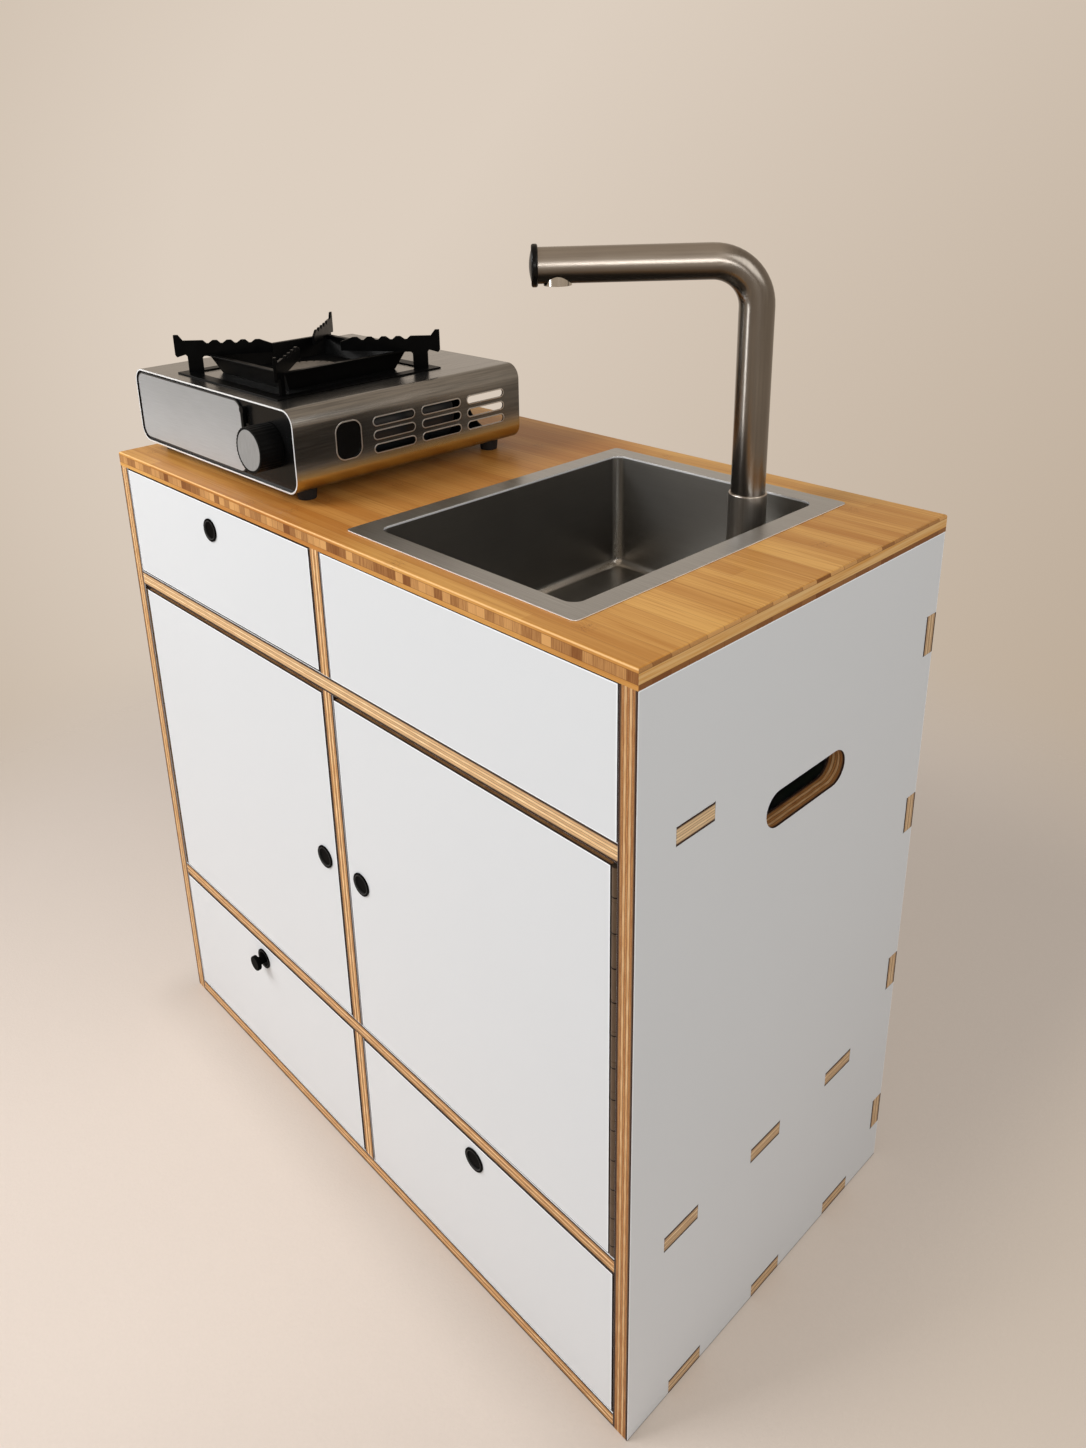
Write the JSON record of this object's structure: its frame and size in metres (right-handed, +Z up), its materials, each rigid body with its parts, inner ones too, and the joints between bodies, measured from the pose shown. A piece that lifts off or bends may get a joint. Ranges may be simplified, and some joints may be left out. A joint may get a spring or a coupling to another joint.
{
  "type": "campervan_kitchen_unit",
  "caption": "Campervan kitchen unit: plywood cabinet with push-lock drawers and piano-hinged doors, bamboo worktop, inset sink with swivel tap, and a lift-off portable gas stove.",
  "frame": {"origin": "on the floor, under the middle of the cabinet", "axes": "+X right along the front, +Y from the front to the back, +Z up"},
  "size_m": [0.82, 0.4544, 1.0524],
  "materials": {
    "laminate_ply": "white laminate faces, oiled birch plywood edges",
    "bamboo": "oiled, satin",
    "box_ply": "clear lacquered birch plywood",
    "runner_steel": "zinc plated",
    "hinge_bronze": "dark bronzed",
    "lock_black": "glossy black",
    "tongue_metal": "moulded black",
    "sink_steel": "satin brushed stainless",
    "tap_steel": "satin brushed stainless",
    "spout_black": "glossy black",
    "stove_steel": "satin brushed stainless with polished edges",
    "stove_black": "glossy black",
    "stove_silver": "satin silver grey",
    "foot_rubber": "matt",
    "burner_alloy": "cast",
    "valve_brass": "machined",
    "cartridge_paint": "plain pale grey paint",
    "knob_black": "satin black",
    "knob_silver": "satin",
    "enamel_black": "glossy black enamel"
  },
  "bodies": {
    "carcass": {"side_panel_left": "laminate_ply", "side_panel_right": "laminate_ply", "divider_panel": "laminate_ply", "bottom_panel": "laminate_ply", "lower_shelf": "laminate_ply", "upper_shelf": "laminate_ply", "back_panel": "laminate_ply", "worktop": "bamboo", "fixed_panel": "laminate_ply", "hinge_side_leaf_left": "hinge_bronze", "hinge_side_leaf_right": "hinge_bronze", "drawer_rails": "runner_steel", "lock_strikes": "runner_steel", "sink_bowl": "sink_steel", "sink_waste": "sink_steel", "tap_collar": "tap_steel", "tap_nut": "tap_steel"},
    "top_drawer": {"top_drawer_front": "laminate_ply", "top_drawer_box": "box_ply", "top_drawer_slides": "runner_steel", "top_drawer_lock_case": "lock_black"},
    "lower_left_drawer": {"lower_left_drawer_front": "laminate_ply", "lower_left_drawer_box": "box_ply", "lower_left_drawer_slides": "runner_steel", "lower_left_drawer_lock_case": "lock_black"},
    "lower_right_drawer": {"lower_right_drawer_front": "laminate_ply", "lower_right_drawer_box": "box_ply", "lower_right_drawer_slides": "runner_steel", "lower_right_drawer_lock_case": "lock_black"},
    "door_left": {"door_left": "laminate_ply", "hinge_door_leaf_left": "hinge_bronze", "door_left_lock_case": "lock_black"},
    "door_right": {"door_right": "laminate_ply", "hinge_door_leaf_right": "hinge_bronze", "door_right_lock_case": "lock_black"},
    "top_drawer_button": {"top_drawer_lock_button": "lock_black"},
    "top_drawer_tongue": {"top_drawer_lock_tongue": "tongue_metal"},
    "lower_left_drawer_button": {"lower_left_drawer_lock_button": "lock_black"},
    "lower_left_drawer_tongue": {"lower_left_drawer_lock_tongue": "tongue_metal"},
    "lower_right_drawer_button": {"lower_right_drawer_lock_button": "lock_black"},
    "lower_right_drawer_tongue": {"lower_right_drawer_lock_tongue": "tongue_metal"},
    "door_left_button": {"door_left_lock_button": "lock_black"},
    "door_left_tongue": {"door_left_lock_tongue": "tongue_metal"},
    "door_right_button": {"door_right_lock_button": "lock_black"},
    "door_right_tongue": {"door_right_lock_tongue": "tongue_metal"},
    "spout": {"tap_spout": "tap_steel", "tap_aerator": "tap_steel", "spout_end_ring": "spout_black"},
    "spout_button": {"spout_end_button": "spout_black"},
    "stove": {"stove_shell": "stove_steel", "stove_chassis": "stove_black", "stove_front_panel": "stove_silver", "stove_feet": "foot_rubber", "stove_burner": "burner_alloy", "stove_valve": "valve_brass"},
    "cartridge": {"gas_cartridge": "cartridge_paint"},
    "knob": {"stove_knob": "knob_black", "stove_knob_face": "knob_silver"},
    "lever": {"stove_lever": "knob_black"},
    "pan_support": {"pan_support": "enamel_black"}
  },
  "joints": [
    {"name": "top_drawer_slide", "type": "slide", "parent": "carcass", "child": "top_drawer", "axis": [0, -1, 0], "range_m": [0, 0.26]},
    {"name": "lower_left_drawer_slide", "type": "slide", "parent": "carcass", "child": "lower_left_drawer", "axis": [0, -1, 0], "range_m": [0, 0.26]},
    {"name": "lower_right_drawer_slide", "type": "slide", "parent": "carcass", "child": "lower_right_drawer", "axis": [0, -1, 0], "range_m": [0, 0.26]},
    {"name": "door_left_swing", "type": "hinge", "parent": "carcass", "child": "door_left", "pos_m": [-0.3885, -0.2174, 0.4255], "axis": [0, 0, -1], "range_deg": [0, 100]},
    {"name": "door_right_swing", "type": "hinge", "parent": "carcass", "child": "door_right", "pos_m": [0.3885, -0.2174, 0.4255], "axis": [0, 0, 1], "range_deg": [0, 100]},
    {"name": "top_drawer_button_push", "type": "slide", "parent": "top_drawer", "child": "top_drawer_button", "axis": [0, -1, 0], "range_m": [0, 0.014]},
    {"name": "top_drawer_tongue_slide", "type": "slide", "parent": "top_drawer", "child": "top_drawer_tongue", "axis": [0, 0, -1], "range_m": [0, 0.0055]},
    {"name": "lower_left_drawer_button_push", "type": "slide", "parent": "lower_left_drawer", "child": "lower_left_drawer_button", "axis": [0, -1, 0], "range_m": [-0.014, 0]},
    {"name": "lower_left_drawer_tongue_slide", "type": "slide", "parent": "lower_left_drawer", "child": "lower_left_drawer_tongue", "axis": [0, 0, -1], "range_m": [-0.0055, 0]},
    {"name": "lower_right_drawer_button_push", "type": "slide", "parent": "lower_right_drawer", "child": "lower_right_drawer_button", "axis": [0, -1, 0], "range_m": [0, 0.014]},
    {"name": "lower_right_drawer_tongue_slide", "type": "slide", "parent": "lower_right_drawer", "child": "lower_right_drawer_tongue", "axis": [0, 0, -1], "range_m": [0, 0.0055]},
    {"name": "door_left_button_push", "type": "slide", "parent": "door_left", "child": "door_left_button", "axis": [0, -1, 0], "range_m": [0, 0.014]},
    {"name": "door_left_tongue_slide", "type": "slide", "parent": "door_left", "child": "door_left_tongue", "axis": [-1, 0, 0], "range_m": [0, 0.0055]},
    {"name": "door_right_button_push", "type": "slide", "parent": "door_right", "child": "door_right_button", "axis": [0, -1, 0], "range_m": [0, 0.014]},
    {"name": "door_right_tongue_slide", "type": "slide", "parent": "door_right", "child": "door_right_tongue", "axis": [1, 0, 0], "range_m": [0, 0.0055]},
    {"name": "spout_swivel", "type": "hinge", "parent": "carcass", "child": "spout", "pos_m": [0.257, 0.119, 0.785], "axis": [0, 0, 1], "range_deg": [-90, 90]},
    {"name": "spout_button_push", "type": "slide", "parent": "spout", "child": "spout_button", "axis": [0.6947, 0.7193, 0], "range_m": [0, 0.0025], "stiffness_N_per_m": 400},
    {"name": "stove_lift", "type": "slide", "parent": "carcass", "child": "stove", "axis": [0, 0, 1], "range_m": [0, 0.25]},
    {"name": "cartridge_slide", "type": "slide", "parent": "stove", "child": "cartridge", "axis": [0, 1, 0], "range_m": [0, 0.2]},
    {"name": "knob_turn", "type": "hinge", "parent": "stove", "child": "knob", "pos_m": [-0.105, -0.2, 0.857], "axis": [0, -1, 0], "range_deg": [0, 130]},
    {"name": "lever_slide", "type": "slide", "parent": "stove", "child": "lever", "axis": [0, 0, -1], "range_m": [0, 0.012]},
    {"name": "pan_support_lift", "type": "slide", "parent": "stove", "child": "pan_support", "axis": [0, 0, 1], "range_m": [0, 0.15]}
  ],
  "couplings": [
    {"joint": "top_drawer_tongue_slide", "follows": "top_drawer_button_push", "ratio": 0.39286},
    {"joint": "lower_left_drawer_tongue_slide", "follows": "lower_left_drawer_button_push", "ratio": 0.39286},
    {"joint": "lower_right_drawer_tongue_slide", "follows": "lower_right_drawer_button_push", "ratio": 0.39286},
    {"joint": "door_left_tongue_slide", "follows": "door_left_button_push", "ratio": 0.39286},
    {"joint": "door_right_tongue_slide", "follows": "door_right_button_push", "ratio": 0.39286}
  ]
}
